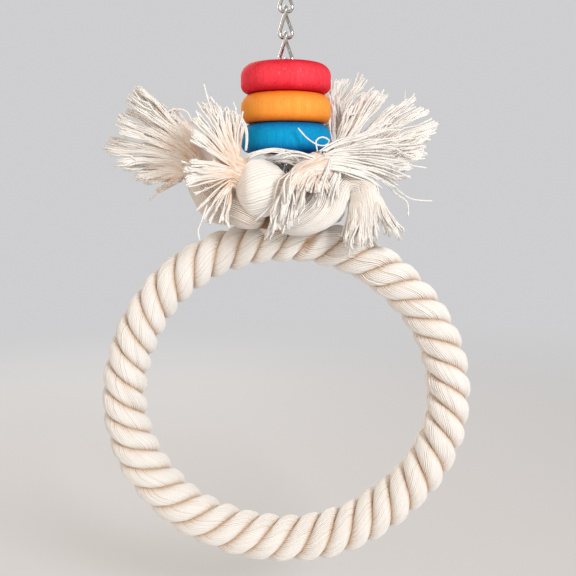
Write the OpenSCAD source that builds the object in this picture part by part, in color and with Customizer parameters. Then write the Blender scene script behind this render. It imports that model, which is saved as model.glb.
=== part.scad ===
// Rope ring swing for cage birds, in millimetres.
// Origin: the point inside the top of the hanger link that bears on the cage bar.
// +Z is up, X runs across the ring and Y runs through it. The swing hangs below the origin.

/* [Hanger link] */
// Wire diameter of the hanger link
hook_wire_d = 3.5; // [3:0.1:4.2]
// Clear length inside the hanger link
hook_inner_l = 30; // [26:0.5:40]
// Clear width inside the hanger link
hook_inner_w = 9; // [8:0.5:14]
// Opening in the side of the hanger link when its nut is screwed back
hook_gap = 5.5; // [4:0.1:7]
// Length of stub that the nut covers above and below the opening
nut_lap = 1.25; // [0.8:0.05:1.8]
// Width of the nut across its flats
nut_flats = 7; // [6:0.1:9]
// Play between the nut and the wire, on the diameter
nut_play = 0.3; // [0.2:0.05:0.6]
// Play between the hanger link and the first chain link
hook_play = 0.25; // [0.2:0.05:0.5]

/* [Chain] */
// Wire diameter of the twisted chain links
link_wire_d = 2.1; // [1.8:0.1:2.5]
// Distance from one link to the next
link_pitch = 14.1; // [12.5:0.1:17]
// Outside width of a link at its bows
link_w = 9; // [8.4:0.1:11]
// Straight stretch at the middle of each bow
link_flat = 2.5; // [2.2:0.1:3.2]
// Bend radius where a leg leaves its bow
link_twist_r = 4; // [3:0.1:4.5]
// Play between neighbouring links
link_play = 0.1; // [0.05:0.05:0.3]

/* [Wooden discs] */
// Diameter of a disc
disc_d = 50.8; // [40:0.1:64]
// Thickness of a disc
disc_h = 16.2; // [16:0.1:20]
// Rounding of the upper edge of the rim
disc_round = 7; // [2:0.1:8.5]
// Rounding of the lower edge of the rim
disc_base_round = 4.5; // [2:0.1:6]
// Play between the chain and the bore of a disc, on the diameter
bore_play = 2.2; // [1.5:0.1:4]
// Chamfer at both ends of the bore
bore_chamfer = 0.8; // [0.4:0.1:1.5]
// Play between neighbouring discs
disc_play = 0.2; // [0.1:0.05:0.5]

/* [Rope ring] */
// Diameter of the laid rope
rope_d = 25.4; // [22:0.1:28]
// Outside width of the ring
ring_w = 220; // [190:1:260]
// Outside height of the ring
ring_h = 212; // [190:1:250]
// Diameter of the married strands that pass through the anchor ring
neck_d = 11; // [8:0.1:12]
// Play between the rope ends and what hangs between them
rope_end_play = 1; // [0.6:0.1:2]

/* [Anchor ring] */
// Wire diameter of the anchor ring
anchor_wire_d = 2.5; // [2:0.1:3]
// Clear diameter inside the anchor ring
anchor_inner_d = 18; // [17:0.1:19.5]
// Play between the anchor ring and the married strands
neck_play = 0.3; // [0.2:0.05:0.6]

/* [Knot] */
// Diameter of one unlaid strand of the rope
strand_d = 13; // [11:0.1:13.5]
// Play between the strands and what they sit on
strand_play = 0.3; // [0.2:0.05:0.6]
// Diameter of the thin outer edge of a frayed tail
tail_edge_d = 7; // [5:0.1:9]

/* [Hidden] */
$fn = 64;
LINKS = 9;
TAILS = 6;
eps = 0.01;

// Hanger link: bow radius on the wire's centre line, and heights of its features
hook_r = (hook_inner_w + hook_wire_d) / 2;
hook_top_z = -hook_inner_w / 2;
hook_low_z = -(hook_inner_l - hook_inner_w / 2);
hook_wire_z = -(hook_inner_l + hook_wire_d / 2);
nut_h = hook_gap + 2 * nut_lap;
nut_rest = 0.5;
gap_low_z = hook_low_z + nut_h + nut_rest;
gap_top_z = gap_low_z + hook_gap;

// Chain: height of a link on its centre line, and the places of its bows
link_c = link_pitch + link_wire_d + link_play;
link_bow = (link_w - link_wire_d) / 2;
corner_r = link_bow - link_flat / 2;
first_top_z = hook_wire_z + (hook_wire_d + link_wire_d) / 2 + hook_play;
function link_mid_z(i) = first_top_z - link_c / 2 - link_pitch * (i - 1);
function link_low_z(i) = link_mid_z(i) - link_c / 2;

// Chain: a leg leans from one bow to the other, which is turned by a quarter
leg_rise = link_c - 2 * corner_r;
leg_side = sqrt(2) * link_bow - 2 * link_twist_r;
leg_l = sqrt(leg_side * leg_side + leg_rise * leg_rise - 4 * link_twist_r * link_twist_r);
leg_lean = atan2(leg_l * leg_side + 2 * link_twist_r * leg_rise,
                 leg_l * leg_rise - 2 * link_twist_r * leg_side);
leg_draw = 0.08;
leg_bury = 0.4;

// Anchor ring hangs in the last link, and the married strands lie in the anchor ring
anchor_r = (anchor_inner_d + anchor_wire_d) / 2;
anchor_top_z = link_low_z(LINKS) + (link_wire_d + anchor_wire_d) / 2 + link_play;
anchor_mid_z = anchor_top_z - anchor_r;
neck_z = anchor_mid_z - anchor_inner_d / 2 + neck_play + neck_d / 2;
neck_grip = 6;

// Rope ring: an oval of four arcs round its centre, its top at the married strands
ring_a = (ring_w - rope_d) / 2;
ring_b = (ring_h - rope_d) / 2;
ring_shift = (ring_a - ring_b) / (2 - sqrt(2));
ring_z = neck_z - ring_b;
knot_z = neck_z + rope_d / 2;
ring_top_r = ring_b + ring_shift + rope_d / 2;
function rope_top(x) = sqrt(ring_top_r * ring_top_r - x * x) - ring_top_r;

// Knot: routes of the six strands, in millimetres for a strand of route_d, from the top of the rope.
// Strands 1 and 2 wrap the front and the back, and strands 3 to 6 rise beside the chain and spill out.
route_d = 13;
knot_scale = strand_d / route_d;
function rope_side(x, y) = rope_top(x) - rope_d / 2 + sqrt(rope_d * rope_d / 4 - y * y);
lie_x = 27;
rise_x = 10;
rise_y = 10;
lie_h = (rope_top(lie_x * knot_scale) + strand_play) / knot_scale + route_d / 2;
rise_h = (rope_side(rise_x * knot_scale, (rise_y - route_d / 2) * knot_scale) + strand_play) / knot_scale;
ROUTES = [
    [[-lie_x, 4, lie_h], [-lie_x, -9, lie_h], [-23, -21, 0], [-12, -27, -2], [-2, -27, -3], [7, -28, -3],
     [15, -28, -2], [22, -28, 4], [27, -28, 13], [35, -28, 16], [41, -29, 12], [44, -30, 2]],
    [[lie_x, -4, lie_h], [lie_x, 9, lie_h], [22, 22, 0], [8, 28, -2], [-9, 28, -2], [-25, 24, 0],
     [-38, 16, 4], [-45, 10, 12], [-48, 7, 21], [-53, 5, 28], [-60, 4, 32]],
    [[-rise_x, -rise_y, rise_h], [-rise_x, -rise_y, 10], [-10, -13, 17], [-11, -19, 21], [-13, -26, 21],
     [-18, -31, 19], [-25, -33, 18]],
    [[rise_x, -rise_y, rise_h], [rise_x, -rise_y, 10], [12, -12, 17], [16, -16, 22], [19, -22, 24],
     [18, -30, 25], [14, -36, 24]],
    [[rise_x, rise_y, rise_h], [rise_x, rise_y, 10], [12, 12, 19.5], [18, 13, 25.5], [27, 13, 30]],
    [[-rise_x, rise_y, rise_h], [-rise_x, rise_y, 10], [-9, 14, 20.5], [-4, 21, 26], [2, 30, 29]]];

// Frayed tails: outer corners of the fan that each strand ends in, in the same frame as its route
FANS = [
    [[34, -32, -16], [47, -28, -15], [60, -22, -11]],
    [[-72, 5, 58], [-88, 6, 68], [-102, 3, 38], [-77, 0, 14]],
    [[-35, -34, 50], [-43, -33, 58], [-50, -42, 28], [-41, -45, -3], [-33, -46, -4]],
    [[-7, -46, -7], [1, -48, -6], [18, -46, 9]],
    [[48, 15, 62], [62, 13, 64], [83, 8, 50], [79, 0, 24], [70, 0, 10]],
    [[34, 38, 76], [50, 36, 66], [8, 54, 46], [-14, 46, 36]]];
route_steps = 4;
route_sides = 12;
fan_plate = 1;
function unit(v) = v / norm(v);
function curve_point(a, b, c, d, t) =
    0.5 * (2 * b + (c - a) * t + (2 * a - 5 * b + 4 * c - d) * t * t + (3 * b - a - 3 * c + d) * t * t * t);
function smooth(p) = concat(
    [for (i = [0 : len(p) - 2], j = [0 : route_steps - 1])
        curve_point(p[max(i - 1, 0)], p[i], p[i + 1], p[min(i + 2, len(p) - 1)], j / route_steps)],
    [p[len(p) - 1]]);
function placed(p) = [for (q = p) [0, 0, knot_z] + knot_scale * q];
function strand_path(i) = smooth(placed(ROUTES[i - 1]));
function heading(p, i) = unit(p[min(i + 1, len(p) - 1)] - p[max(i - 1, 0)]);
function square_to(u, t) = unit(u - (u * t) * t);
function sideways(p, i = 0, u = [1, 1, 0.3]) =
    i == len(p) ? [] : let (n = square_to(u, heading(p, i))) concat([n], sideways(p, i + 1, n));

// Discs: the lowest one rests on the strands, on its flat face or on the rounding round it
rim_x = disc_d / 2 - disc_round;
base_x = disc_d / 2 - disc_base_round;
function rest_z(q) =
    let (over = norm([q.x, q.y]) - base_x, reach = strand_d / 2 + disc_base_round)
        over <= 0 ? q.z + strand_d / 2
        : over < reach ? q.z - disc_base_round + sqrt(reach * reach - over * over)
        : knot_z;
knot_top_z = max([for (i = [1 : TAILS]) for (q = strand_path(i)) rest_z(q)]);
bore_d = link_w + bore_play;
function disc_mid_z(level) = knot_top_z + strand_play + disc_h / 2 + (disc_h + disc_play) * level;

// A bent wire or rope: part of a circle of radius r in the XZ plane, from one angle through a turn
module bend(r, d, from, turn) {
    rotate([90, 0, 0]) rotate(from) rotate_extrude(angle = turn) translate([r, 0]) circle(d = d);
}

// Hanger link
module quick_link_body() {
    color("silver") {
        translate([0, 0, hook_top_z]) bend(hook_r, hook_wire_d, 0, 180);
        translate([0, 0, hook_low_z]) bend(hook_r, hook_wire_d, 180, 180);
        translate([-hook_r, 0, hook_low_z]) cylinder(d = hook_wire_d, h = hook_top_z - hook_low_z);
        translate([hook_r, 0, gap_top_z]) cylinder(d = hook_wire_d, h = hook_top_z - gap_top_z);
        translate([hook_r, 0, hook_low_z]) cylinder(d = hook_wire_d, h = gap_low_z - hook_low_z);
    }
}

module quick_link_nut() {
    color("gainsboro") translate([hook_r, 0, gap_low_z - nut_lap]) difference() {
        cylinder(d = nut_flats / cos(30), h = nut_h, $fn = 6);
        translate([0, 0, -eps]) cylinder(d = hook_wire_d + nut_play, h = nut_h + 2 * eps);
    }
}

// One corner of a link's lower bow, and the bend that starts its leg
module link_corner() {
    translate([link_flat / 2, 0, corner_r - link_c / 2]) bend(corner_r, link_wire_d, -90, 90);
    translate([link_bow, 0, corner_r - link_c / 2]) rotate(135) translate([link_twist_r, 0, 0])
        bend(link_twist_r, link_wire_d, 180, -leg_lean);
}

// A leg is drawn a little thinner than the bows, and its ends are buried in their bends
module link_leg() {
    translate([link_bow, 0, corner_r - link_c / 2]) rotate(135)
        translate([link_twist_r * (1 - cos(leg_lean)), 0, link_twist_r * sin(leg_lean)])
            rotate([0, leg_lean, 0]) translate([0, 0, -leg_bury])
                cylinder(d = link_wire_d - leg_draw, h = leg_l + 2 * leg_bury);
}

// Lower bow across X, upper bow across Y: the upper one is the lower one turned over a diagonal
module chain_link(i) {
    color("lightgray") translate([0, 0, link_mid_z(i)]) {
        for (over = [0, 180], side = [0, 180]) rotate(over, [1, 1, 0]) rotate(side) link_corner();
        for (side = [0, 180]) rotate(side) link_leg();
        for (over = [0, 180]) rotate(over, [1, 1, 0]) translate([-link_flat / 2, 0, -link_c / 2])
            rotate([0, 90, 0]) cylinder(d = link_wire_d, h = link_flat);
    }
}

module anchor_ring() {
    color("darkgray") translate([0, 0, anchor_mid_z]) rotate([0, 90, 0])
        rotate_extrude() translate([anchor_r, 0]) circle(d = anchor_wire_d);
}

// Half section of a disc: a bored slab with a rim that is rounder above than below
module disc_section() {
    bore_r = bore_d / 2;
    low = disc_base_round - disc_h / 2;
    high = disc_h / 2 - disc_round;
    difference() {
        union() {
            translate([bore_r, low]) square([disc_d / 2 - bore_r, high - low]);
            translate([bore_r, low]) square([rim_x - bore_r, disc_h / 2 - low]);
            translate([bore_r, -disc_h / 2]) square([base_x - bore_r, disc_h / 2 + high]);
            translate([rim_x, high]) circle(r = disc_round);
            translate([base_x, low]) circle(r = disc_base_round);
        }
        for (s = [-1, 1]) translate([bore_r, s * disc_h / 2]) rotate(45)
            square(sqrt(2) * bore_chamfer, center = true);
    }
}

module disc(level, tint) {
    color(tint) translate([0, 0, disc_mid_z(level)]) rotate_extrude() disc_section();
}

// Gap between the rope ends, wide enough at the top for the last link to hang in
module rope_gap() {
    low = anchor_wire_d / 2 + rope_end_play;
    high = link_w / 2 + rope_end_play;
    reach = rope_d / 2 + rope_end_play;
    translate([0, 0, neck_z]) rotate([90, 0, 0]) linear_extrude(2 * rope_d, center = true)
        polygon([[-low, -reach], [low, -reach], [high, reach], [-high, reach]]);
}

module rope_ring() {
    neck_l = link_w + 2 * (rope_end_play + neck_grip);
    color("antiquewhite") {
        difference() {
            translate([0, 0, ring_z]) for (quarter = [0 : 3]) {
                side = quarter % 2 == 0;
                r = side ? ring_a - ring_shift : ring_b + ring_shift;
                rotate([0, -90 * quarter, 0]) translate([side ? ring_shift : -ring_shift, 0, 0])
                    bend(r, rope_d, -45, 90);
            }
            rope_gap();
        }
        translate([-neck_l / 2, 0, neck_z]) rotate([0, 90, 0]) cylinder(d = neck_d, h = neck_l);
    }
}

// A closed tube along a path of points
module tube(p, d) {
    across = sideways(p);
    last = len(p) - 1;
    points = [for (i = [0 : last], k = [0 : route_sides - 1])
        let (t = heading(p, i), turn = 360 * k / route_sides)
            p[i] + d / 2 * (cos(turn) * across[i] + sin(turn) * cross(t, across[i]))];
    walls = [for (i = [0 : last - 1], k = [0 : route_sides - 1])
        let (a = i * route_sides + k, b = i * route_sides + (k + 1) % route_sides)
            each [[a, a + route_sides, b + route_sides], [a, b + route_sides, b]]];
    ends = [for (k = [1 : route_sides - 2])
        let (far = last * route_sides) each [[0, k, k + 1], [far, far + k + 1, far + k]]];
    polyhedron(points, concat(walls, ends));
}

module knot_strand(i) {
    color("ivory") tube(strand_path(i), strand_d);
}

// The fan starts at the end face of its strand
module frayed_tail(i) {
    p = strand_path(i);
    root = p[len(p) - 1];
    t = heading(p, len(p) - 1);
    color("linen") hull() {
        translate(root) rotate([0, acos(t.z), atan2(t.y, t.x)]) cylinder(d = strand_d, h = fan_plate, $fn = 24);
        for (tip = placed(FANS[i - 1])) translate(tip) sphere(d = tail_edge_d, $fn = 16);
    }
}

quick_link_body();
quick_link_nut();
for (i = [1 : LINKS]) chain_link(i);
anchor_ring();
disc(2, "crimson");  // disc_red
disc(1, "darkorange");  // disc_orange
disc(0, "steelblue");  // disc_blue
rope_ring();
for (i = [1 : TAILS]) knot_strand(i);
for (i = [1 : TAILS]) frayed_tail(i);
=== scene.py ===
# %% [markdown]
# A rope ring swing for cage birds, dressed for its portrait.
#
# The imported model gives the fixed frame: chain, wooden discs, hanger and the plain soft solids.
# This lesson keeps the hard pieces and gives them real finishes. The soft solids are replaced by
# laid strands and loose yarns. Shapes are worked out in millimetres, as a maker measures, and become
# metres when a mesh is made.

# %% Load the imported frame
import math

import bpy
import numpy as np
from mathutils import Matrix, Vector


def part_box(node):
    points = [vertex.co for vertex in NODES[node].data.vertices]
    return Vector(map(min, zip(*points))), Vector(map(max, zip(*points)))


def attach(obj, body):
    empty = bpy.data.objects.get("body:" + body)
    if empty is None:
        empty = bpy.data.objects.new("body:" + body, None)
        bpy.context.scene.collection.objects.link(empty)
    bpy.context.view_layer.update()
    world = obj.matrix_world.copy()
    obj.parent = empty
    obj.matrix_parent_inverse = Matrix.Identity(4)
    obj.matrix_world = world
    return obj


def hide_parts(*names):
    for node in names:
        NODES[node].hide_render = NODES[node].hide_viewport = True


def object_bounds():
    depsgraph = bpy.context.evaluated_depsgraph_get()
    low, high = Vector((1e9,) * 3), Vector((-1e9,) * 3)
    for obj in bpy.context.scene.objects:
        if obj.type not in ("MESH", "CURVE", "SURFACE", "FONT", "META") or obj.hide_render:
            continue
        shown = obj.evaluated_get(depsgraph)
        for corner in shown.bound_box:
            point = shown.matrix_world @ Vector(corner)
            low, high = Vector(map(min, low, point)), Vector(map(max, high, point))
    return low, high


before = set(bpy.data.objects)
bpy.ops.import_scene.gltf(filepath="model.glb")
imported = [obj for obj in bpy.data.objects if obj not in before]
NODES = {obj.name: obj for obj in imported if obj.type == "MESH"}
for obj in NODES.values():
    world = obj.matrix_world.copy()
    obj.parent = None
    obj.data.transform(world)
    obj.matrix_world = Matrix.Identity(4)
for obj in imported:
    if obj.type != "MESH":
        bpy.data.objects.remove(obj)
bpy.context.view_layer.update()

MM = 0.001

# %% [markdown]
# The camera stands where the picture was taken from: close in front, at the height of the knot, and
# looking a little down. It could be placed by eye, but numbers that fit both discs and ring keep the
# perspective right. The image is square, so the same field of view holds both ways.
# `seen` turns a place in the picture, at a chosen depth, into a place in space. It sets the tips
# of the frayed tails, which no drawing could give.

# %% Camera
IMAGE = 576
FOCAL = 750
SENSOR = 36
CAM_POS = np.array([1.2, -434.9, -140.75])
CAM_DIP = math.radians(7.82)

bpy.ops.object.select_all(action="DESELECT")
bpy.ops.object.camera_add(location=CAM_POS * MM, rotation=(math.pi / 2 - CAM_DIP, 0, 0))
camera = bpy.context.object
camera.name = "portrait_camera"
camera.data.sensor_width = SENSOR
camera.data.lens = FOCAL / IMAGE * SENSOR
camera.data.clip_start = 0.01
bpy.context.scene.camera = camera


def seen(u, v, depth):
    """Place in millimetres that shows at pixel u, v and lies at y = depth."""
    right = (u - IMAGE / 2) / FOCAL
    rise = (IMAGE / 2 - v) / FOCAL
    reach = (depth - CAM_POS[1]) / (math.cos(CAM_DIP) + rise * math.sin(CAM_DIP))
    x = CAM_POS[0] + reach * right
    z = CAM_POS[2] + reach * (rise * math.cos(CAM_DIP) - math.sin(CAM_DIP))
    return np.array([x, depth, z])


print("the ring's lowest point shows near pixel 286, 560:", seen(286, 560, 0).round(1))

# %% [markdown]
# A plain pale floor lies below the hanging ring, and the world is the same pale tone, so no horizon
# pulls the eye. One soft key lamp stands to the right of the camera, a weaker one fills from the
# left, and a third lights the back. They are soft boxes, because small lamps would draw hard
# shadows. The fill and the world are warm, which makes the cotton's shadows peach. At the front all
# of them add up to about one, so a colour renders about as it is written.

# %% Floor and light
FLOOR_DROP = 0.06
FLOOR_R = 4
AIM = Vector((0, 0, -0.2))

FLOOR_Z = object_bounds()[0][2] - FLOOR_DROP
bpy.ops.mesh.primitive_circle_add(
    vertices=96, radius=FLOOR_R, fill_type="NGON", location=(0, 0, FLOOR_Z))
floor = bpy.context.object
floor.name = "pale_floor"
bpy.ops.object.transform_apply(location=True, rotation=True, scale=True)


def soft_lamp(name, place, size, watts, colour):
    """A square soft box that looks at the swing."""
    bpy.ops.object.light_add(type="AREA", location=place)
    lamp = bpy.context.object
    lamp.name = name
    lamp.data.size = size
    lamp.data.energy = watts
    lamp.data.color = colour
    lamp.rotation_euler = (lamp.location - AIM).to_track_quat("Z", "Y").to_euler()


soft_lamp("key_lamp", (0.66, -1.02, 0.32), size=0.45, watts=12.0, colour=(0.96, 0.98, 1.0))
soft_lamp("fill_lamp", (-0.6, -1.1, 0.0), size=0.8, watts=3.2, colour=(1.0, 0.86, 0.72))
soft_lamp("rear_lamp", (-0.5, 1.0, 0.45), size=0.7, watts=9.0, colour=(1.0, 0.97, 0.93))

# %% [markdown]
# Finishes are node trees. They could be wired by hand in the node editor, but a sum is easier to read
# as a sum. So one small class wraps a socket: adding or multiplying two wires adds the Math node that
# does it, and one method makes any other node.

# %% Wires for shader maths


class Wire:
    """A node socket that takes part in Python sums."""

    def __init__(self, tree, socket=None):
        self.tree = tree
        self.socket = socket

    def node(self, kind, inputs=None, output=0, **settings):
        """Adds a node: its settings first, then the values or wires of its sockets."""
        made = self.tree.nodes.new(kind)
        for name, value in settings.items():
            setattr(made, name, value)
        for name, value in (inputs or {}).items():
            if isinstance(value, Wire):
                self.tree.links.new(value.socket, made.inputs[name])
            else:
                made.inputs[name].default_value = value
        return Wire(self.tree, made.outputs[output])

    def maths(self, operation, *values, clamp=False):
        sockets = dict(enumerate(values))
        return self.node("ShaderNodeMath", sockets, operation=operation, use_clamp=clamp)

    def __add__(self, other):
        return self.maths("ADD", self, other)

    __radd__ = __add__

    def __sub__(self, other):
        return self.maths("SUBTRACT", self, other)

    def __rsub__(self, other):
        return self.maths("SUBTRACT", other, self)

    def __mul__(self, other):
        return self.maths("MULTIPLY", self, other)

    __rmul__ = __mul__

    def __truediv__(self, other):
        return self.maths("DIVIDE", self, other)

    def __rtruediv__(self, other):
        return self.maths("DIVIDE", other, self)

    def __pow__(self, other):
        return self.maths("POWER", self, other)

    def larger(self, other):
        return self.maths("MAXIMUM", self, other)

    def clamped(self):
        return self.maths("ADD", self, 0.0, clamp=True)

    def blend(self, low, high):
        """A colour from low to high, by this wire's value."""
        sockets = {0: self.clamped(), 6: low, 7: high}
        return self.node("ShaderNodeMix", sockets, output=2, data_type="RGBA")


def new_finish(name):
    """An empty material: its Principled shader's sockets, and a wire to start from."""
    finish = bpy.data.materials.new(name)
    finish.use_nodes = True
    shader = finish.node_tree.nodes["Principled BSDF"]
    return finish, shader.inputs, Wire(finish.node_tree)


def feed(sockets, name, wire):
    wire.tree.links.new(wire.socket, sockets[name])


def noise(wire, vector, scale, detail=3.0, roughness=0.5):
    """Noise about one half, on a stretched or plain vector."""
    sockets = {"Vector": vector, "Scale": scale, "Detail": detail, "Roughness": roughness}
    return wire.node("ShaderNodeTexNoise", sockets)


def drawn_out(wire, vector, squeeze):
    """A vector on which a pattern is drawn out along Z: the smaller the squeeze, the longer."""
    return wire.node("ShaderNodeMapping", {"Vector": vector, "Scale": (1.0, 1.0, squeeze)})


def bump(wire, height, strength, distance):
    return wire.node("ShaderNodeBump", {"Height": height, "Strength": strength, "Distance": distance})


print("wires ready")

# %% [markdown]
# The floor is matt, with a faint cloudiness, and away from the object it fades into the world's tone.
# The world looks as pale as the floor where the camera, a mirror or glass sees it, and gives a
# gentler, warmer light to the object. One plain background colour would have to do both at once.

# %% Floor finish and world
PALE = (0.62, 0.62, 0.63, 1)
WARM = (1.0, 0.87, 0.75, 1)
WORLD_LIGHT = 0.40

pale, pale_in, wire = new_finish("pale_paint")
place = wire.node("ShaderNodeTexCoord", output="Object")
cloud = noise(wire, place, scale=3.0)
feed(pale_in, "Base Color", cloud.blend((0.66, 0.66, 0.67, 1), (0.70, 0.70, 0.71, 1)))
pale_in["Roughness"].default_value = 0.9
away = wire.node("ShaderNodeVectorMath", {0: place}, output="Value", operation="LENGTH")
near_to_far = {"Value": away, "From Min": 0.25, "From Max": 1.3}
fade = wire.node("ShaderNodeMapRange", near_to_far, interpolation_type="SMOOTHSTEP")
paint = Wire(pale.node_tree, pale.node_tree.nodes["Principled BSDF"].outputs[0])
glow = wire.node("ShaderNodeEmission", {"Color": PALE})
surface = wire.node("ShaderNodeMixShader", {0: fade, 1: paint, 2: glow})
feed(pale.node_tree.nodes["Material Output"].inputs, "Surface", surface)
floor.data.materials.append(pale)

world = bpy.data.worlds.new("studio")
bpy.context.scene.world = world
world.use_nodes = True
sky = world.node_tree.nodes["Background"]
wire = Wire(world.node_tree)
direct = wire.node("ShaderNodeLightPath", output="Is Camera Ray")
glossy = wire.node("ShaderNodeLightPath", output="Is Glossy Ray")
through = wire.node("ShaderNodeLightPath", output="Is Transmission Ray")
shown = direct.larger(glossy).larger(through)
feed(sky.inputs, "Color", shown.blend(WARM, PALE))
feed(sky.inputs, "Strength", WORLD_LIGHT + (1 - WORLD_LIGHT) * shown)
bpy.context.scene.view_settings.view_transform = "Standard"
print("floor at", round(FLOOR_Z, 3))

# %% [markdown]
# Cotton is the main finish. Its own colour is a warm white that differs a little from yarn to yarn,
# and shade is painted on it in peach and tan in the creases. Noise alone can't know where a crease
# is, so the pieces carry two numbers: how much shade is painted on a point, mostly by how deep it
# lies between its neighbours, and `tone`, one chance value for each yarn. Where the painted shade
# passes one, tan goes on to a painted dark, the shadow of a gap. Fine fibres are a bump, and a little
# sheen stands for the fluff.

# %% Cotton
# The dark painted into the deepest gaps as their shadow.
GAP_SHADOW = (0.20, 0.12, 0.07, 1)


def cotton(name, light, dark, shade_tan):
    finish, sockets, wire = new_finish(name)
    place = wire.node("ShaderNodeTexCoord", output="Object")
    crease = wire.node("ShaderNodeAttribute", attribute_name="crease", output="Fac")
    tone = wire.node("ShaderNodeAttribute", attribute_name="tone", output="Fac")
    blotch = noise(wire, place, scale=60.0, detail=4.0)
    fibre = noise(wire, place, scale=2600.0, detail=2.0)
    base = (0.55 * tone + 0.75 * blotch - 0.25).blend(light, dark)
    # Painted shade: tan in creases, gaps and near roots, and past one the painted dark of a gap.
    deep = (crease * (0.75 + 0.5 * blotch)).blend(base, shade_tan)
    feed(sockets, "Base Color", (crease - 1).blend(deep, GAP_SHADOW))
    feed(sockets, "Roughness", 0.82 + 0.14 * fibre)
    feed(sockets, "Normal", bump(wire, fibre, strength=0.35, distance=0.0004))
    sockets["Sheen Weight"].default_value = 0.25
    sockets["Sheen Roughness"].default_value = 0.5
    sockets["Specular IOR Level"].default_value = 0.25
    return finish


rope_cotton = cotton(
    "laid_cotton", light=(0.91, 0.89, 0.86, 1), dark=(0.87, 0.83, 0.78, 1), shade_tan=(0.56, 0.36, 0.20, 1))
yarn_cotton = cotton(
    "loose_cotton", light=(0.93, 0.91, 0.88, 1), dark=(0.90, 0.85, 0.79, 1), shade_tan=(0.76, 0.47, 0.27, 1))
print("cotton finishes:", rope_cotton.name, yarn_cotton.name)

# %% [markdown]
# A strand is a bundle of yarns. A curve with a round bevel would give a smooth hose, so a strand is a
# grid that is rolled into a tube instead: its rows step along the strand and its columns run along
# the yarns, four to a yarn, so each yarn stands up as a ridge. Grid and seam are made with Blender's
# own operators, and the rolled shape is set in between. The grid's UV map stays on the tube.

# %% Rolled strands
RIDGE = np.array([-1.0, 0.25, 0.75, 0.25])
COLS = len(RIDGE)
SEAM = 1e-6


def yarn_columns(yarns):
    """Of each column of a tube: its number, its yarn, its height there, and if two yarns meet in it."""
    column = np.arange(yarns * COLS + 1)
    height = RIDGE[column % COLS]
    return column, (column // COLS) % yarns, height, height < 0


def seam_depths(rng, yarns, least, more, rarity):
    """Chance depths of the lines between yarns: most are near the least, and a few are deep."""
    return least + more * rng.random(yarns) ** rarity


def carry(mesh, **numbers):
    """Gives a mesh one number for each of its points, under a name that the finish reads."""
    for label, values in numbers.items():
        layer = mesh.attributes.new(label, "FLOAT", "POINT")
        layer.data.foreach_set("value", values.astype(np.float32).ravel())


def dress(piece, finish):
    """Turns the faces outwards, smooths and finishes a piece, and ties it to the swing."""
    bpy.ops.object.mode_set(mode="EDIT")
    bpy.ops.mesh.select_all(action="SELECT")
    bpy.ops.mesh.normals_make_consistent(inside=False)
    bpy.ops.object.mode_set(mode="OBJECT")
    bpy.ops.object.shade_smooth()
    piece.data.materials.append(finish)
    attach(piece, "swing")


def rolled(name, points, crease, tone, finish=rope_cotton):
    """A closed tube from rows x columns of points; its seam and poles are merged."""
    rows, cols = points.shape[:2]
    bpy.ops.object.select_all(action="DESELECT")
    bpy.ops.mesh.primitive_grid_add(x_subdivisions=cols - 1, y_subdivisions=rows - 1, size=1)
    piece = bpy.context.object
    piece.name = name
    piece.data.vertices.foreach_set("co", (points * MM).astype(np.float32).ravel())
    carry(piece.data, crease=crease, tone=tone)
    bpy.ops.object.mode_set(mode="EDIT")
    bpy.ops.mesh.select_all(action="SELECT")
    bpy.ops.mesh.remove_doubles(threshold=SEAM)
    bpy.ops.object.mode_set(mode="OBJECT")
    dress(piece, finish)
    print(name, "has", len(piece.data.polygons), "faces")
    return piece


print("a yarn takes", COLS, "columns of a strand")

# %% [markdown]
# The ring is a thick rope bent round until its ends meet at the top. Its centre line is an oval of
# four arcs, wider than high, the same as in the solid. A scaled circle would be shorter to write, but
# arcs have a plain outward direction and an even measure along them.

# %% Centre line of the ring
HALF_W = 97.3
HALF_H = 93.3
ROPE_R = 12.7
RING_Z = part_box("rope_ring")[0].z / MM + (HALF_H + ROPE_R)
SHIFT = (HALF_W - HALF_H) / (2 - math.sqrt(2))
R_SIDE = HALF_W - SHIFT
R_TOP = HALF_H + SHIFT
FRONT = np.array([0.0, -1.0, 0.0])


def oval(turn):
    """Centre line and outward direction, by how far the latter has turned from the top."""
    out = np.stack([np.sin(turn), 0 * turn, np.cos(turn)], -1)
    quarter = np.round(turn / (math.pi / 2)).astype(int) % 4
    side = quarter % 2 == 1
    centre = np.zeros(turn.shape + (3,))
    centre[..., 0] = np.where(side, SHIFT * np.where(quarter == 1, 1, -1), 0)
    centre[..., 2] = np.where(side, 0, -SHIFT * np.where(quarter == 0, 1, -1)) + RING_Z
    radius = np.where(side, R_SIDE, R_TOP)
    return centre + radius[..., None] * out, out


def run_along(points):
    """Length from the first point to each point, along the line through them."""
    steps = np.linalg.norm(np.diff(points, axis=0), axis=1)
    return np.concatenate([[0], np.cumsum(steps)])


turns = np.linspace(0, 2 * math.pi, 4001)
lengths = run_along(oval(turns)[0])
ROPE_L = lengths[-1]
print("the rope's centre line is", round(ROPE_L, 1), "mm long")

# %% [markdown]
# Three strands are laid round one another, left over right: their lines climb to the right at the
# bottom of the ring. A strand's section is a rounded lobe that fills its third of the rope. No real
# rope is even, so the lay is slack at the top right and tight on the left, and sums of a few waves
# make the rope swell and wander. The waves fit the ring, so its start and end agree.

# %% Lay and section of a strand
LAY_TURNS = 14
LAY_START = math.radians(54)
SLACK = 0.0055
STRAND_A = 6.9
STRAND_B = 7.9
SQUARE = 2.2


def ease(low, high, value):
    """A smooth step from 0 at low to 1 at high."""
    t = np.clip((value - low) / (high - low), 0, 1)
    return t * t * (3 - 2 * t)


def below(depth, top, fade):
    """How far a depth lies under the top: 0 there, and 1 from one fade further in."""
    return np.clip((top - depth) / fade, 0, 1)


def bell(distance, width):
    """One at no distance, and nearly nothing at twice the width."""
    return np.exp(-((distance / width) ** 2))


def laid(along):
    """Share of the lay's turns that this share of the rope has made."""
    return along + SLACK * (1 - ease(0.0, 0.30, along)) + SLACK * ease(0.6, 1.0, along)


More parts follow.
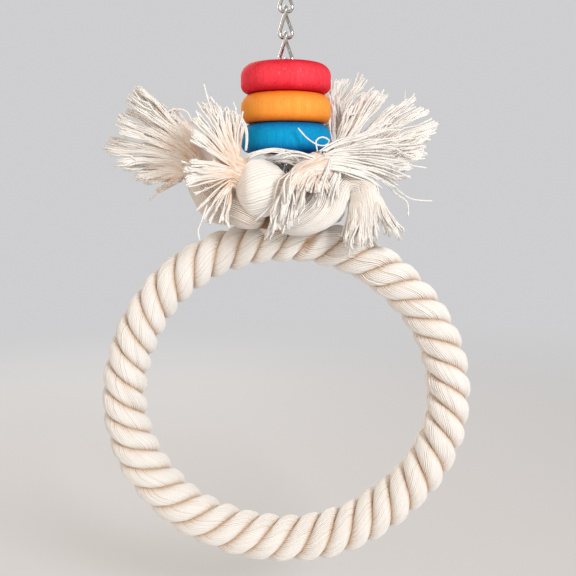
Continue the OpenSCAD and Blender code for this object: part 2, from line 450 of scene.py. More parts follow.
def unevenness(along, seed, waves):
    """Smooth chance between about -1 and 1 that closes on itself round the ring."""
    rng = np.random.default_rng(seed)
    total = sum(np.sin(2 * math.pi * (n * along + rng.random())) for n in waves)
    return total / math.sqrt(len(waves))


def apart(along, place):
    """How far round the ring, as a share of it, each point lies from a place: -0.5 to 0.5."""
    return (along - place + 0.5) % 1.0 - 0.5


lap = np.linspace(0, 2 * math.pi, 721)
lobe_x = STRAND_A * np.sign(np.cos(lap)) * np.abs(np.cos(lap)) ** (2 / SQUARE)
lobe_y = STRAND_B * np.sign(np.sin(lap)) * np.abs(np.sin(lap)) ** (2 / SQUARE)
lobe_s = run_along(np.stack([lobe_x, lobe_y], -1))
lobe_s /= lobe_s[-1]
print("one turn of the lay takes", round(ROPE_L / LAY_TURNS, 1), "mm")

# %% [markdown]
# Now each strand is rolled along its lay. Its yarns are twisted the other way, so they run nearly
# along the rope. The rope is stouter at the bottom, lies up to 3 mm further in at the top, where the
# knot sits on it, and swells where its ends butt. On the upper right its yarns have loosened. Beside
# the butt a gap opens between two strands: a real dent, with its dark painted on as shade. Shade is
# also painted into the creases between strands and the lines between yarns. An array of copies could
# not vary like this.

# %% Three laid strands
YARN_TURNS = 18
YARNS = 40
ROWS = 26 * LAY_TURNS
STRAND_OUT = 5.8
STRAND_R = 7
STOUT = 1.01
STOUT_LOW = 0.055
ROPE_UNEVEN = 0.011
STRAND_UNEVEN = 0.012
BUTT_SWELL = 0.10
BUTT_L = 5.0
SAG = 3.0
SAG_OVER = (math.radians(45), math.radians(120))
WANDER = 0.5
LOOSE = 1.1
LOOSE_AT = 0.09
LOOSE_OVER = 0.07
GAP_AT = 12.0
GAP_L = 5.0
GAP_FRONT = 11
GAP_DEEP = 0.6


def ring_line(index, along):
    """A strand's guide: the rope's centre, two directions square to it, and how stout it is."""
    turn = np.interp(along * ROPE_L, lengths, turns)
    centre, out = oval(turn)
    lay = LAY_START + 2 * math.pi * (index / 3 - LAY_TURNS * laid(along))
    radial = np.cos(lay)[:, None] * out + np.sin(lay)[:, None] * FRONT
    across = -np.sin(lay)[:, None] * out + np.cos(lay)[:, None] * FRONT
    stout = STOUT - STOUT_LOW * np.cos(turn) + ROPE_UNEVEN * unevenness(along, 3, (5, 9, 14, 23))
    stout = stout + STRAND_UNEVEN * unevenness(along, 20 + index, (11, 17, 29, 37))
    stout = stout + BUTT_SWELL * bell(apart(along, 0) * ROPE_L, BUTT_L)
    sag = SAG * (1 - ease(*SAG_OVER, np.minimum(turn, 2 * math.pi - turn)))
    outward = WANDER * unevenness(along, 4, (2, 3, 5, 7)) - sag
    return centre + outward[:, None] * out, radial, across, stout


def ring_strand(index):
    rng = np.random.default_rng(10 + index)
    along = np.linspace(0, 1, ROWS + 1)
    centre, radial, across, stout = ring_line(index, along)
    loosened = 1 + LOOSE * bell(apart(along, LOOSE_AT), LOOSE_OVER)[:, None]
    column, yarn, height, meet = yarn_columns(YARNS)
    share = (column[None, :] / (YARNS * COLS) + YARN_TURNS * along[:, None]) % 1.0
    valley = seam_depths(rng, YARNS, least=0.16, more=0.5, rarity=3)[yarn]
    proud = valley * height + rng.normal(0, 0.05, YARNS)[yarn]
    swell = 1 + loosened * proud / STRAND_R
    x = STRAND_OUT + np.interp(share, lobe_s, lobe_x) * swell
    y = np.interp(share, lobe_s, lobe_y) * swell
    depth = np.hypot(x, y)
    offset = x[..., None] * radial[:, None] + y[..., None] * across[:, None]
    gap = bell(apart(along, GAP_AT / ROPE_L) * ROPE_L, GAP_L)[:, None]
    facing = np.clip(-offset[..., 1] / GAP_FRONT, 0, 1) ** 4
    gap = gap * facing * below(depth, top=12.6, fade=2.2)
    spot = centre[:, None] + (stout[:, None] * (1 - GAP_DEEP * gap))[..., None] * offset
    # Painted shade: tan below the crowns and in the lines between yarns, deeper where loosened, and the
    # dark of the gap beside the butt.
    crease = 0.75 * below(depth, top=11.2, fade=2.4) ** 1.4
    crease = crease + 0.20 * below(depth, top=ROPE_R, fade=3)
    crease = crease + 0.7 * loosened * valley * meet + gap
    tone = rng.random(YARNS)[yarn] + 0 * share
    piece = rolled(f"ring_strand_{index + 1}", spot, np.clip(crease, 0, 1), tone)
    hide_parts("rope_ring")


for index in range(3):
    ring_strand(index)

# %% [markdown]
# At the top each rope end is unlaid into its three strands. They pass one another round the chain
# and form the knot that carries the discs. Each strand follows a short list of places, close to its
# solid's route: across, in depth, above the rope's top, and the radius there. The radius is listed
# because a slack strand swells where it bends and thins where it is squeezed. Strand 3 swells into
# the ball at the front, and a short second piece brings its end out from behind the ball.
# A smooth curve runs through the places.

# %% Routes of the knot
KNOT_Z = RING_Z + HALF_H + ROPE_R
ROUTE_STEPS = 10
ROUTES = {
    1: [(-27, 4, 0, 6.5), (-29, -9, 5, 7.5), (-27, -19, 4, 9), (-20, -25, 0, 9), (-13, -19, -4, 4.5),
        (-5, -20, -5, 5), (5, -26, -4, 8), (14, -28, -1, 9.5), (21, -28, 4, 10), (26, -27, 12, 9.5),
        (33, -26, 17, 8.5), (40, -27, 15, 8.5), (43, -29, 6, 8)],
    2: [(27, -4, 0, 6.5), (27, 9, 0, 7), (22, 22, 0, 8.5), (8, 28, -2, 8.5), (-9, 28, -2, 8.5),
        (-25, 24, 0, 8.5), (-40, 14, 3, 10), (-46, 9, 13, 10), (-49, 7, 22, 10), (-52, 5, 27, 10.5),
        (-56, 4, 31, 11)],
    3: [(-10, -7, -13, 6.5), (-8, -10, 3, 7), (-3, -15, 10, 7), (-3, -21, 13, 8), (-7, -25, 13.5, 13),
        (-12, -26.5, 13.5, 15.8), (-17, -27, 13.5, 16), (-22, -27, 13.5, 15), (-27, -27, 13.5, 13)],
    4: [(10, -7, -13, 6.5), (10, -10, 4, 7), (13, -12, 17, 8), (17, -17, 22, 9), (20, -23, 24, 9.5),
        (19, -30, 24, 9.5), (13, -36, 23, 8.5)],
    5: [(10, 7, -13, 6.5), (10, 10, 6, 7), (12, 12, 18.5, 8), (18, 13, 24.6, 8.5), (28, 12, 27, 8.5)],
    6: [(-10, 7, -13, 6.5), (-10, 10, 6, 7), (-9, 14, 19.5, 8), (-4, 21, 24.9, 8), (2, 30, 27.2, 8)],
}
HIDDEN_END = [(-18, -22, 16, 7), (-21, -24, 18, 8), (-24, -26, 20, 8.5), (-27, -27.5, 22, 8.5)]


def smooth_route(knots, steps):
    """A smooth curve through rows of numbers: one cubic span between each two."""
    knots = np.array(knots, float)
    padded = np.vstack([knots[:1], knots, knots[-1:]])
    t = np.linspace(0, 1, steps, endpoint=False)[:, None]
    spans = []
    for a, b, c, d in zip(padded, padded[1:], padded[2:], padded[3:]):
        spans.append(0.5 * (2 * b + (c - a) * t + (2 * a - 5 * b + 4 * c - d) * t**2
                            + (3 * b - a - 3 * c + d) * t**3))
    return np.vstack(spans + [knots[-1:]])


def frames(path, start):
    """Directions along a path, and two directions square to it that turn as little as they can."""
    ahead = np.gradient(path, axis=0)
    ahead /= np.linalg.norm(ahead, axis=1)[:, None]
    side = np.zeros_like(path)
    now = np.array(start, float)
    for i, t in enumerate(ahead):
        now = now - (now @ t) * t
        now /= np.linalg.norm(now)
        side[i] = now
    return ahead, side, np.cross(ahead, side)


for index, places in ROUTES.items():
    route = smooth_route(places, ROUTE_STEPS)
    print("strand", index, "runs", round(run_along(route[:, :3])[-1]), "mm")

# %% [markdown]
# The knot's strands are rolled like the ring's, with finer lines, as slack cotton has. Both ends close
# in a dome. The first end is sunk into the rope, or lies on it for strands 1 and 2, and the last
# carries a tail. Where a strand is thinner than 7 mm in radius it is squeezed between its neighbours,
# and shade is painted on it in tan; at its thinnest the painted shade passes one, so that the gap is
# painted dark. The lines between yarns get painted shade too, and two strands get a little extra
# painted shade where they turn under.

# %% Strands of the knot
KNOT_YARNS = 54
KNOT_TWIST = 1 / 200.0
SNUG = 0.97
DOME = 7.0
DOMES = {3: 10.0}
LINES = {1: 1.5, 2: 1.7, 3: 0.6, 5: 1.5, 6: 1.5}
LINE_DARK = 9
PINCH_R = 7.0
PINCH_OVER = 1.3
DARKEST = 1.8
SHADED = {1: (-24, 0.2), 2: (-42, 0.2)}
SHADE_L = 11
strand_lines = {}


def knot_strand(name, index, places, dome=DOME, lines=1.0):
    rng = np.random.default_rng(40 + index)
    route = smooth_route(places, ROUTE_STEPS)
    path = route[:, :3] + (0, 0, KNOT_Z)
    radius = route[:, 3]
    ahead, side, up = frames(path, (1, 1, 0.3))
    run = run_along(path)
    strand_lines[index] = {"run": run, "path": path, "ahead": ahead, "radius": radius}
    close = np.minimum(np.minimum(run / DOME, (run[-1] - run) / dome), 1)
    tube = SNUG * radius * np.sqrt(1 - (1 - close) ** 2)
    column, yarn, height, meet = yarn_columns(KNOT_YARNS)
    lap = 2 * math.pi * (column[None, :] / (KNOT_YARNS * COLS) - KNOT_TWIST * run[:, None])
    valley = lines * seam_depths(rng, KNOT_YARNS, least=0.022, more=0.06, rarity=2)[yarn]
    proud = valley * height + rng.normal(0, 0.006, KNOT_YARNS)[yarn]
    reach = tube[:, None] * (1 + proud)
    spot = path[:, None] + (reach * np.cos(lap))[..., None] * side[:, None]
    spot = spot + (reach * np.sin(lap))[..., None] * up[:, None]
    # Painted shade: squeezed parts turn tan and the thinnest go dark, and the lines between yarns and
    # the places where two strands turn under are darkened too.
    pinch = np.clip((PINCH_R - radius) / PINCH_OVER, 0, DARKEST)
    if index in SHADED:
        x, shade = SHADED[index]
        pinch = pinch + shade * bell(route[:, 0] - x, SHADE_L)
    crease = LINE_DARK * valley * meet + pinch[:, None]
    tone = rng.random(KNOT_YARNS)[yarn] + 0 * reach
    piece = rolled(name, spot, np.clip(crease, 0, DARKEST), tone)
    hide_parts(f"knot_strand_{index}")


for index, places in ROUTES.items():
    knot_strand(f"knot_wrap_{index}", index, places, DOMES.get(index, DOME), LINES.get(index, 1.0))
knot_strand("knot_wrap_3_end", 3, HIDDEN_END)

# %% [markdown]
# Each strand ends in a spray of loose yarns. Hair particles could make it, but a yarn is thick enough
# to be a solid stick. One yarn is modelled once, with four sides and ten segments, because it will be
# copied thousands of times. Only its upright edges are cut: they are picked in edge mode, because in
# vertex mode the edges of the ends would be picked with their corners.

# %% One yarn
SEGMENTS = 10
bpy.ops.object.select_all(action="DESELECT")
bpy.ops.mesh.primitive_cylinder_add(vertices=4, radius=1, depth=1, location=(0, 0, 0))
stick = bpy.context.object
stick.name = "one_yarn"
bpy.ops.object.mode_set(mode="EDIT")
bpy.ops.mesh.select_mode(type="EDGE")
bpy.ops.mesh.select_all(action="DESELECT")
bpy.ops.object.mode_set(mode="OBJECT")
for edge in stick.data.edges:
    ends = [stick.data.vertices[i].co.z for i in edge.vertices]
    edge.select = abs(ends[0] - ends[1]) > 0.5
bpy.ops.object.mode_set(mode="EDIT")
bpy.ops.mesh.subdivide(number_cuts=SEGMENTS - 1)
bpy.ops.object.mode_set(mode="OBJECT")
stick_co = np.array([v.co for v in stick.data.vertices])
stick_level = np.rint((stick_co[:, 2] + 0.5) * SEGMENTS).astype(int)
stick_faces = [list(p.vertices) for p in stick.data.polygons]
bpy.data.objects.remove(stick)
print("one yarn has", len(stick_faces), "faces")

# %% [markdown]
# The copies are bent along their own paths, one place on the path for each level of the stick. An
# array modifier with a curve would bend them all alike. All copies of a spray are joined as one
# piece, so a tail is one thing to pick up.

# %% Copies of the yarn
ASKEW = (0.31, 0.83, 0.46)


def spray(name, paths, radius, tone, crease):
    """Copies of the one yarn along paths of shape yarns x levels x 3, joined as one piece."""
    ahead = np.gradient(paths, axis=1)
    ahead /= np.linalg.norm(ahead, axis=2, keepdims=True)
    side = np.cross(ahead, ASKEW)
    side /= np.linalg.norm(side, axis=2, keepdims=True)
    up = np.cross(ahead, side)
    lift = stick_co[None, :, :1] * side[:, stick_level] + stick_co[None, :, 1:2] * up[:, stick_level]
    spot = paths[:, stick_level] + radius[:, stick_level, None] * lift
    size = len(stick_co)
    faces = [[v + size * k for v in face] for k in range(len(paths)) for face in stick_faces]
    mesh = bpy.data.meshes.new(name)
    mesh.from_pydata((spot.reshape(-1, 3) * MM).tolist(), [], faces)
    tone = tone[:, None] + 0 * radius
    carry(mesh, tone=tone[:, stick_level], crease=crease[:, stick_level])
    piece = bpy.data.objects.new(name, mesh)
    bpy.context.scene.collection.objects.link(piece)
    bpy.ops.object.select_all(action="DESELECT")
    piece.select_set(True)
    bpy.context.view_layer.objects.active = piece
    dress(piece, yarn_cotton)
    print(name, "has", len(paths), "sticks")
    return piece


print("a stick has", len(stick_co), "points on", SEGMENTS + 1, "levels")

# %% [markdown]
# The tufts of each tail are given one by one: each entry is the place in the picture where a tuft
# ends and its depth, and a fourth number says how full it is, where it is thinner than the rest.
# Chance alone would spread the yarns evenly, and no frayed rope does that.

# %% Tips of the tufts, by pixel and depth
TUFTS = {
    1: [(346, 243, -28), (350, 247, -30), (355, 246, -27), (360, 247, -31), (365, 245, -28),
        (371, 241, -26), (376, 236, -24, 0.6), (387, 236, -20, 0.4), (399, 241, -20, 0.35),
        (403, 234, -18, 0.3)],
    2: [(172, 116, 2), (160, 108, 4), (150, 100, 8), (140, 89, 0), (131, 91, 4), (126, 99, 0),
        (122, 108, 8), (115, 118, 6), (114, 128, -2), (107, 141, 6), (105, 151, 2), (119, 162, -4),
        (127, 168, 6), (138, 177, 2), (148, 185, 6), (160, 190, 4), (167, 186, 0)],
    3: [(243, 124, -31, 0.2), (235, 113, -31), (225, 105, -29), (214, 104, -31), (203, 104, -33),
        (197, 117, -36), (191, 132, -38), (188, 164, -43), (185, 171, -44), (186, 181, -46),
        (191, 195, -44, 0.15), (197, 208, -45, 0.12), (202, 221, -45, 0.18), (208, 223, -46, 0.15),
        (215, 213, -48, 0.12), (222, 222, -47, 0.12), (229, 228, -47, 0.22)],
    4: [(269, 235, -46), (275, 229, -48), (281, 222, -50), (287, 229, -47), (292, 222, -49, 0.7),
        (286, 200, -50), (299, 206, -50, 0.6), (308, 190, -50, 0.6), (319, 194, -46, 0.7),
        (329, 188, -43, 0.6)],
    5: [(352, 104, 16), (361, 100, 18), (375, 93, 14), (386, 93, 16), (398, 104, 10), (409, 100, 12),
        (427, 107, 8), (441, 121, 6), (436, 135, 4), (429, 147, 2), (421, 156, 0), (414, 168, -2),
        (404, 178, -4, 0.7)],
    6: [(371, 94, 36), (363, 78, 38), (350, 77, 44), (342, 80, 40), (335, 82, 36), (320, 92, 50),
        (300, 96, 56), (270, 110, 54), (252, 124, 50), (240, 140, 46)],
}
print("tufts in each tail:", {index: len(tips) for index, tips in TUFTS.items()})

# %% [markdown]
# `fan` puts a tail's tufts in order across its spread, so that neighbours at the tips are neighbours
# on the strand too, and no yarn crosses another by accident. `comb` draws the curve from strand to
# tip: a yarn leaves along its strand, bends to its tip, and falls a little at the end. A straight
# line would look like a broom.

# %% Fans and combed curves
GIRTH = 0.92
SPREAD = {1: 1.25, 2: 1.5, 3: 1.2}
LEAD = 0.6
LEADS = {3: 0.25}
FALL = 0.03
FALLS = {4: 0.22}
UP = np.array([0, 0, 1])


def fan(index):
    """A tail's root, its girth there, the way across, and its tufts in order with their fullness."""
    end = strand_lines[index]["path"][-1]
    girth = GIRTH * strand_lines[index]["radius"][-1]
    aims = np.array([seen(*tuft[:3]) for tuft in TUFTS[index]])
    full = np.array([tuft[3] if len(tuft) > 3 else 1.0 for tuft in TUFTS[index]])
    lean = aims - end
    middle = math.atan2(lean[:, 2].mean(), lean[:, 0].mean())
    order = np.argsort((np.arctan2(lean[:, 2], lean[:, 0]) - middle + math.pi) % (2 * math.pi))
    across = SPREAD.get(index, 1.0) * np.array([-math.sin(middle), 0, math.cos(middle)])
    return end, girth, across, aims[order], full[order]


def comb(index, start, target, t):
    """Curves from starts, where t is 0, to targets, where t is 1."""
    way = strand_lines[index]["ahead"][-1]
    to_tip = target - start
    span = np.linalg.norm(to_tip, axis=-1, keepdims=True)
    lead = LEADS.get(index, LEAD)
    first = start + 0.3 * span * (lead * way + (1 - lead) * to_tip / span)
    last = start + 0.68 * to_tip + FALLS.get(index, FALL) * span * UP
    curve = (1 - t) ** 3 * start + 3 * t * (1 - t) ** 2 * first
    return curve + 3 * t * t * (1 - t) * last + t**3 * target


def spot_at(where, marks, points):
    """Places on the line through points, at marks that run along it."""
    return np.stack([np.interp(where, marks, points[:, k]) for k in range(3)], -1)


for index in TUFTS:
    print("tail", index, "is", round(2 * fan(index)[1], 1), "mm thick at its root")

# %% [markdown]
# Near its strand a tail is still dense, and no light passes between its yarns. Thousands of sticks
# could show that, but a flattened brush with a ridge for each yarn does it with few faces. Its lines
# start across the strand's end and spread towards the tips of the full tufts. They end in ragged
# clumps, some shorter than others, in a thin edge that the loose yarns hide. Shade is painted on a
# tail in peach and tan near its root and between its yarns, lighter on raised clumps, and each tail
# has a number that scales this painted shade.

# %% Dense part of each tail
BODY_YARNS = 84
BODY_ROWS = 24
BODY_REACH = 0.70
BODY_SUNK = 3
BODY_CUT = (0.62, 1.0)
LOCK = 3
FULL_ENOUGH = 0.65
ROOT_SHADE = {1: 0.35, 3: 1.3, 5: 0.6}


def body_depth(t):
    """Half the thickness of a tail's dense part, as a share of the strand's girth."""
    gone = np.clip(t / BODY_REACH, 0, 1)
    return np.sqrt(1 - gone**2) * (0.5 + 0.5 * (1 - gone))


def tail_body(index):
    rng = np.random.default_rng(90 + index)
    end, girth, across, aims, full = fan(index)
    aims = aims[full > FULL_ENOUGH]
    column, yarn, height, meet = yarn_columns(BODY_YARNS)
    lap = 2 * math.pi * column / (BODY_YARNS * COLS)
    target = spot_at(np.cos(lap), np.linspace(-1, 1, len(aims)), aims)
    start = end + girth * np.cos(lap)[:, None] * across
    t = np.linspace(0, BODY_REACH, BODY_ROWS)[:, None, None]
    valley = seam_depths(rng, BODY_YARNS, least=0.45, more=0.7, rarity=2)[yarn]
    lock = rng.normal(0, 1, BODY_YARNS // LOCK + 1)[yarn // LOCK]
    proud = valley * height + rng.normal(0, 0.2, BODY_YARNS)[yarn] + 0.7 * lock
    clump = np.minimum(column, column[::-1]) // (LOCK * COLS)
    cut = rng.uniform(*BODY_CUT, clump.max() + 1)[clump]
    spot = comb(index, start, target, t * cut[:, None])
    thick = (girth + proud)[None, :, None] * body_depth(t)
    spot = spot + thick * np.sin(lap)[None, :, None] * FRONT
    root = end - BODY_SUNK * strand_lines[index]["ahead"][-1]
    spot = np.concatenate([np.broadcast_to(root, spot[:1].shape), spot])
    gone = np.concatenate([[0], t.ravel()])[:, None] / BODY_REACH
    # Painted shade: peach and tan near the root and between yarns, and lighter on raised clumps.
    crease = 0.75 * (1 - gone) ** 0.9 + 0.15 - 0.25 * lock + 0.7 * valley * meet
    crease = np.clip(ROOT_SHADE.get(index, 1.0) * crease, 0, 1)
    tone = rng.random(BODY_YARNS)[yarn] + 0 * crease
    piece = rolled(f"tail_body_{index}", spot, crease, tone, yarn_cotton)
    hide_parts(f"frayed_tail_{index}")


for index in TUFTS:
    tail_body(index)

# %% [markdown]
# The loose yarns are combed over that brush, side by side, more on its front than on its back. Each
# lies on the strand at first, follows the brush, and runs on to its tuft's tip. A tuft's yarns bend
# alike and end in a ragged cut, and each yarn has a slight curl of its own. About one yarn in seven
# goes astray.

# %% Loose yarns
YARNS_A_TUFT = 30
YARN_R = (0.42, 0.58)
FRAYED_END = 0.2
TUFT_W = 9.0
TUFT_FILL = 0.57
TUFT_CUT = (0.91, 1.02)
TUFT_BEND = 0.8
YARN_CUT = (0.93, 1.03)
IN_FRONT = 0.66
ASTRAY = 0.14
# How far off its tip a yarn ends, and how much it curls: when it goes astray, and when it doesn't.
WILD = (2.5, 1.3)
TAME = (0.5, 0.42)
BEND_L = 32
CURL_L = 21
# How far from the root the painted shade of a loose yarn fades out.
ROOT_SHADE_L = 26
HELD = 3
HELD_L = (8, 15)
HELD_LS = {1: (3, 8), 3: (1, 6)}


def held_part(index, back, side_way):
    """Places on the strand's surface on the way to its end, on the side that side_way points to."""
    line = strand_lines[index]
    places = []
    for k in range(HELD):
        at = max(line["run"][-1] - back * (1 - k / HELD), 0)
        spot = spot_at(at, line["run"], line["path"])
        along = spot_at(at, line["run"], line["ahead"])
        out = side_way - (side_way @ along) * along
        radius = np.interp(at, line["run"], line["radius"])
        places.append(spot + 0.98 * radius * out / np.linalg.norm(out))
    return np.array(places)


def frayed_tail(index):
    rng = np.random.default_rng(70 + index)
    end, girth, across, aims, full = fan(index)
    root_shade = ROOT_SHADE.get(index, 1.0)
    pick = np.linspace(-1, 1, len(aims))
    edge = np.gradient(aims, axis=0)
    room = np.linalg.norm(edge, axis=1)
    edge /= room[:, None]
    t = np.linspace(0, 1, SEGMENTS - HELD + 1)[:, None]
    levels = np.concatenate([np.zeros(HELD), t.ravel()])
    paths, widths, tones, creases = [], [], [], []
    for k, aim in enumerate(aims):
        width = min(TUFT_FILL * room[k], TUFT_W) * min(1, full[k] + 0.2)
        cut = rng.uniform(*TUFT_CUT)
        bend = rng.normal(0, TUFT_BEND, 3)
        phase = rng.random()
        for _ in range(round(YARNS_A_TUFT * full[k])):
            s = rng.uniform(-1, 1)
            off, curl = WILD if rng.random() < ASTRAY else TAME
            c = np.clip(pick[k] + s / (len(aims) - 1), -0.98, 0.98)
            face = math.sqrt(1 - c * c) * (1 if rng.random() < IN_FRONT else -1)
            start = end + girth * c * across
            target = aim + 0.5 * s * width * edge[k] + rng.normal(0, off, 3)
            target = start + (target - start) * cut * rng.uniform(*YARN_CUT)
            span = np.linalg.norm(target - start)
            lift = girth * body_depth(t) * face + np.sign(face) * rng.uniform(0.1, 0.9 + 0.8 * t)
            free = comb(index, start, target, t) + lift * FRONT
            wave = np.sin(2 * math.pi * (t * span / BEND_L + phase)) * t * bend
            ripple = np.sin(2 * math.pi * (t * span / CURL_L + rng.random()))
            free = free + wave + ripple * t * rng.normal(0, curl, 3)
            back = rng.uniform(*HELD_LS.get(index, HELD_L))
            held = held_part(index, back, c * across + face * FRONT)
            paths.append(np.vstack([held, free]))
            widths.append(rng.uniform(*YARN_R) * (1 + FRAYED_END * (levels > 0.95)))
            tones.append(rng.random())
            # Painted shade: each yarn turns peach near its root and fades to white along it.
            fade = np.clip(1 - levels * span / ROOT_SHADE_L, 0, 1) ** 1.2
            creases.append(root_shade * rng.uniform(0.0, 0.8) * fade)
    listed = [np.array(values) for values in (paths, widths, tones, creases)]
    piece = spray(f"tail_yarns_{index}", *listed)
    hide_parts(f"frayed_tail_{index}")


for index in TUFTS:
    frayed_tail(index)

# %% [markdown]
# Some yarns have come away and make their own way: a curl in front of the blue disc, a loop on the
# far-left tail, long ends that hang on the right, and wisps that are drawn across the knot. Chance
# would not put them where they are, so each follows a short list of places. A wisp is a number of
# yarns that share one list and part towards the tips. Every yarn here is long, so it takes two sticks.

# %% Stray yarns and wisps
WISP_R = 0.46
WISP_CUT = (0.68, 1.0)
SWAY_L = 34
SHALLOW = (1, 0.4, 1)
# Each line: how many yarns, how far they part, and the places by pixel and depth.
WISPS = [
    (1, 0, [(318, 158, -34), (317, 149, -32), (316, 141, -30), (322, 137, -30), (329, 140, -30),
            (327, 145, -30), (318, 145, -31), (307, 138, -30), (298, 128, -29)]),
    (3, 0.9, [(246, 150, -31), (247, 138, -31), (246, 127, -31), (242, 118, -31), (234, 112, -31)]),
    (1, 0, [(216, 124, -31), (212, 112, -33), (208, 100, -35), (204, 84, -36)]),
    (1, 0, [(160, 126, 2), (167, 113, 2), (176, 109, 2), (187, 112, 3), (193, 124, 4)]),
    (1, 0, [(372, 178, -24), (377, 199, -22), (388, 217, -20), (404, 234, -18)]),
    (1, 0, [(380, 176, -12), (395, 193, -12), (407, 202, -12), (408, 216, -14)]),
    (1, 0, [(384, 174, -10), (398, 190, -9), (412, 199, -8), (432, 201, -6)]),
    (1, 0, [(207, 205, -46), (201, 222, -47), (198, 231, -47), (200, 241, -46)]),
    (2, 1.2, [(322, 160, -38), (300, 152, -40), (280, 150, -38), (262, 153, -36), (252, 158, -37)]),
    (2, 1.2, [(320, 162, -38), (303, 156, -41), (288, 155, -41), (274, 160, -42)]),
    (22, 3.4, [(318, 161, -36), (335, 160, -38), (355, 163, -35), (375, 168, -27), (392, 174, -17),
               (404, 182, -10)]),
    (20, 2.4, [(317, 166, -37), (336, 167, -39), (356, 172, -37), (372, 178, -31), (382, 187, -26)]),
    (14, 3.4, [(322, 160, -33), (340, 154, -33), (365, 153, -24), (388, 154, -13), (406, 157, -4)]),
    (14, 3.8, [(321, 158, -32), (338, 149, -28), (362, 143, -16), (388, 138, -4), (412, 134, 4)]),
    (12, 1.6, [(238, 168, -24), (248, 157, -28), (256, 153, -30), (272, 150, -29), (288, 153, -30),
               (300, 160, -34)]),
    (16, 2.6, [(350, 152, 14), (342, 132, 20), (337, 108, 24), (336, 84, 28)]),
    (10, 1.5, [(336, 150, 6), (333, 134, 12), (332, 116, 18), (332, 98, 22)]),
    (14, 2.2, [(330, 160, -38), (327, 172, -43), (322, 186, -44), (318, 202, -43)]),
    (12, 2.0, [(338, 163, -34), (338, 175, -38), (334, 188, -39), (332, 200, -38)]),
    (14, 2.4, [(258, 166, -20), (270, 160, -18), (284, 158, -18), (298, 160, -20), (310, 164, -24)]),
]
wisp_paths, wisp_tones = [], []
rng = np.random.default_rng(5)
for count, spread, places in WISPS:
    line = smooth_route([seen(*p) for p in places], 20)
    run = run_along(line)
    for _ in range(count):
        reach = rng.uniform(*WISP_CUT) if spread else 1
        even = np.linspace(0, run[-1] * reach, 2 * SEGMENTS + 1)
        part = (0.35 + 0.65 * (even / run[-1]) ** 1.5)[:, None]
        sway = np.sin(2 * math.pi * (even / SWAY_L + rng.random()))[:, None]
        drift = rng.normal(0, 1, 3) * SHALLOW + 0.25 * sway * rng.normal(0, 1, 3)
        one = spot_at(even, run, line) + spread * part * drift
        wisp_paths += [one[: SEGMENTS + 1], one[SEGMENTS:]]
        wisp_tones += [rng.random()] * 2
wisp_width = np.full((len(wisp_paths), SEGMENTS + 1), WISP_R)
spray("stray_yarns", np.array(wisp_paths), wisp_width, np.array(wisp_tones), 0 * wisp_width)

# %% [markdown]
# The discs are dyed hardwood, turned with the grain along the chain. On the rounded rim the grain
# shows as fine upright streaks, so the noise is drawn out along Z. On the flat faces the same noise
# shows as dots, as end grain does. Light and shade are painted on the rim: its middle is brighter and
# its edges deeper, as where the round turns to and from the lamps. Pale glints are painted on, too,
# along the pores in a band on the upper middle of the rim. Blender's wave texture could draw grain
# too, but its lines are too even for turned wood.

# %% Dyed wood
# Of each dye: its deep tone, its bright tone, and the tint of its painted glints.
DYES = {
    "red": ((0.62, 0.008, 0.024, 1), (1.0, 0.062, 0.090, 1), (1.0, 0.36, 0.36, 1)),
    "orange": ((0.86, 0.20, 0.015, 1), (1.0, 0.40, 0.070, 1), (1.0, 0.62, 0.30, 1)),
    "blue": ((0.004, 0.10, 0.36, 1), (0.003, 0.37, 0.68, 1), (0.02, 0.70, 0.88, 1)),
}


def put_on(finish, nodes):
    """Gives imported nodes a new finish."""
    for node in nodes:
        NODES[node].data.materials.clear()
        NODES[node].data.materials.append(finish)


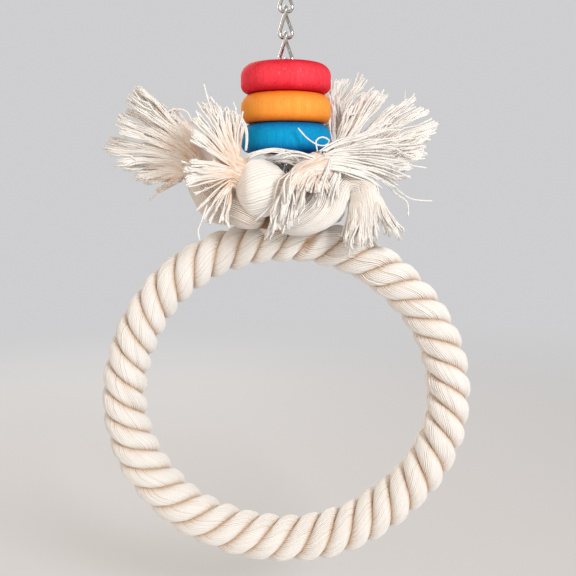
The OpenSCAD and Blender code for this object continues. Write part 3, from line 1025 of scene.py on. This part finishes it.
def dyed_wood(name, node, deep, bright, glint_tint):
    finish, sockets, wire = new_finish(name)
    low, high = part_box(node)
    middle = (low.z + high.z) / 2
    place = wire.node("ShaderNodeTexCoord", output="Object")
    z = wire.node("ShaderNodeSeparateXYZ", {0: place}, output="Z")
    rim = (z - middle) / ((high.z - low.z) / 2)
    streak = noise(wire, drawn_out(wire, place, 0.07), scale=1400.0, detail=5.0, roughness=0.7)
    band = noise(wire, drawn_out(wire, place, 0.10), scale=140.0, detail=3.0)
    pore = noise(wire, drawn_out(wire, place, 0.45), scale=1300.0, detail=3.0, roughness=0.6)
    # Painted light and shade: the middle of the rim is brighter and its edges deeper.
    lit_middle = 1 - (rim * rim).clamped()
    grain = 1.4 * streak + 0.7 * band - 1.10 + 0.85 * lit_middle
    # Painted glints: pale specks along the pores, in a band above the rim's middle.
    glint_band = 1 - (((rim - 0.2) * 2.0) ** 2).clamped()
    painted_glint = ((pore - 0.60) * 9).clamped() * 0.5 * glint_band
    feed(sockets, "Base Color", painted_glint.blend(grain.blend(deep, bright), glint_tint))
    feed(sockets, "Roughness", 0.55 + 0.25 * streak)
    feed(sockets, "Normal", bump(wire, streak + 0.5 * pore, strength=0.05, distance=0.0003))
    sockets["Specular IOR Level"].default_value = 0.08
    put_on(finish, [node])


for dye, tones in DYES.items():
    dyed_wood(f"{dye}_wood", f"disc_{dye}", *tones)
print("discs dyed:", list(DYES))

# %% [markdown]
# Chain and anchor ring are bright nickel plate over steel wire. The hanger link is duller zinc.
# A metal with one roughness looks like a mirror, and no used metal is an even mirror, so both get
# fine scratches and a cloudy gloss.

# %% Plated metal
CHAIN = [n for n in NODES if n.startswith("chain_link")] + ["anchor_ring"]
HANGER = ["quick_link_body", "quick_link_nut"]


def plated(name, nodes, light, dull, rough):
    finish, sockets, wire = new_finish(name)
    place = wire.node("ShaderNodeTexCoord", output="Object")
    cloud = noise(wire, place, scale=420.0, detail=4.0)
    scratch = noise(wire, drawn_out(wire, place, 0.15), scale=5200.0, detail=2.0)
    feed(sockets, "Base Color", (1.6 * cloud - 0.4).blend(dull, light))
    feed(sockets, "Roughness", rough + 0.22 * cloud * scratch)
    feed(sockets, "Normal", bump(wire, scratch, strength=0.06, distance=0.0002))
    sockets["Metallic"].default_value = 1.0
    put_on(finish, nodes)


plated("bright_nickel", CHAIN, light=(0.66, 0.64, 0.61, 1), dull=(0.44, 0.41, 0.37, 1), rough=0.10)
plated("zinc_plate", HANGER, light=(0.70, 0.71, 0.72, 1), dull=(0.52, 0.53, 0.55, 1), rough=0.26)
print("metal on", len(CHAIN) + len(HANGER), "nodes")
